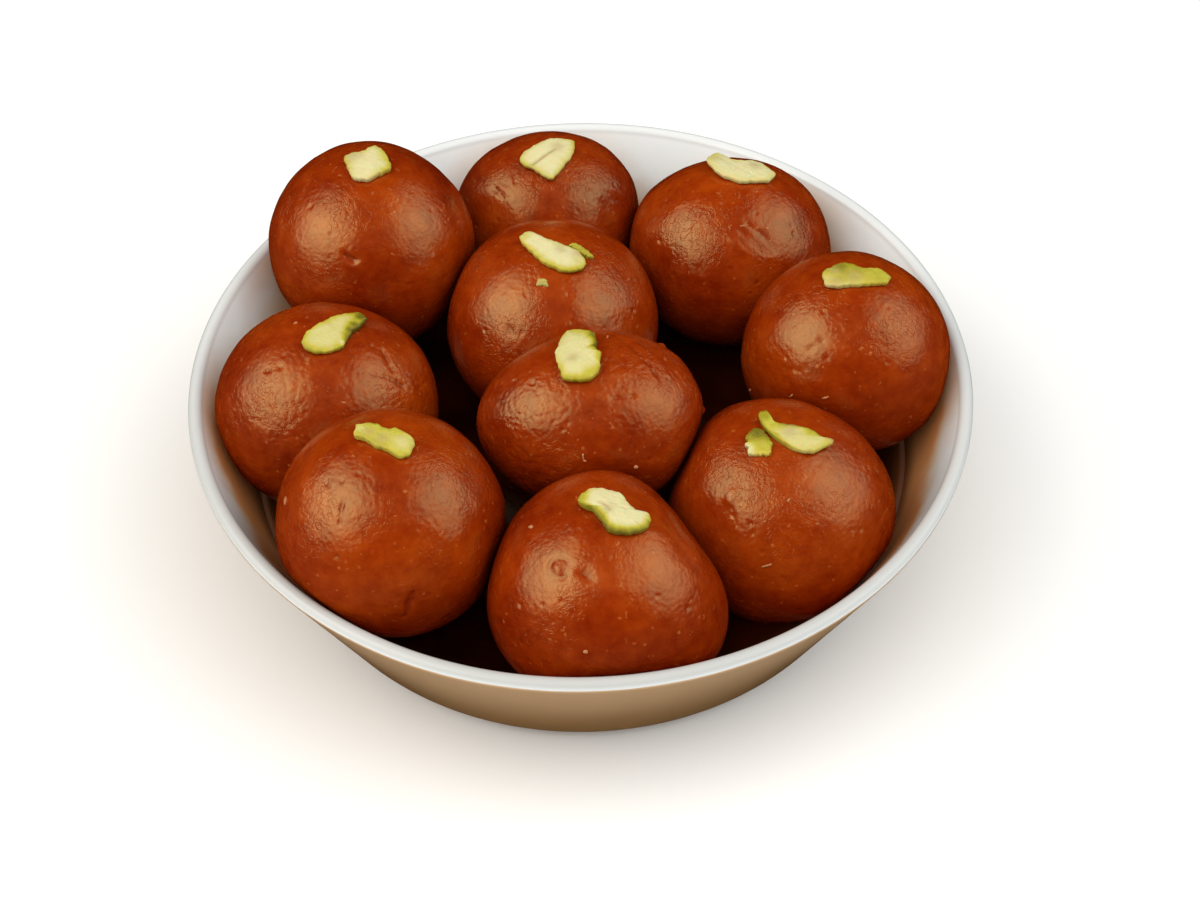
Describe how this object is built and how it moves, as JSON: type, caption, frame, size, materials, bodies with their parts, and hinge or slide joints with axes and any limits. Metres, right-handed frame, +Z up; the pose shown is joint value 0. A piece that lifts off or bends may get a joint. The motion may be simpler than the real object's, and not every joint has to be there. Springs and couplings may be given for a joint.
{
  "type": "bowl of gulab jamun",
  "caption": "Shallow round bowl heaped with soft syrup-soaked milk balls, each topped with a pistachio sliver, over a pool of dark syrup.",
  "frame": {"origin": "middle of the bowl's foot, on the surface it stands on", "axes": "+Z up along the bowl's axis; +X to the right and +Y away, seen from the side where two balls lie nearest the front lip"},
  "size_m": [0.15, 0.15, 0.0664],
  "materials": {
    "bowl": "glossy pale glaze inside and over the lip, warm tan glaze outside",
    "jamun": "moist red-brown fried skin, finely wrinkled and soaked in syrup",
    "pistachio": "pale cream-yellow cut nut with greener edges",
    "syrup": "clear dark sugar syrup, smooth and shiny"
  },
  "bodies": {
    "root": {"bowl": "bowl", "syrup": "syrup", "gulab_jamun_01": "jamun", "gulab_jamun_02": "jamun", "gulab_jamun_03": "jamun", "gulab_jamun_04": "jamun", "gulab_jamun_05": "jamun", "gulab_jamun_06": "jamun", "gulab_jamun_07": "jamun", "gulab_jamun_08": "jamun", "gulab_jamun_09": "jamun", "gulab_jamun_10": "jamun", "pistachio_01": "pistachio", "pistachio_02": "pistachio", "pistachio_03": "pistachio", "pistachio_04": "pistachio", "pistachio_05": "pistachio", "pistachio_06": "pistachio", "pistachio_07": "pistachio", "pistachio_08": "pistachio", "pistachio_09": "pistachio", "pistachio_10": "pistachio", "pistachio_05_chip": "pistachio", "pistachio_10_chip": "pistachio"}
  },
  "joints": []
}
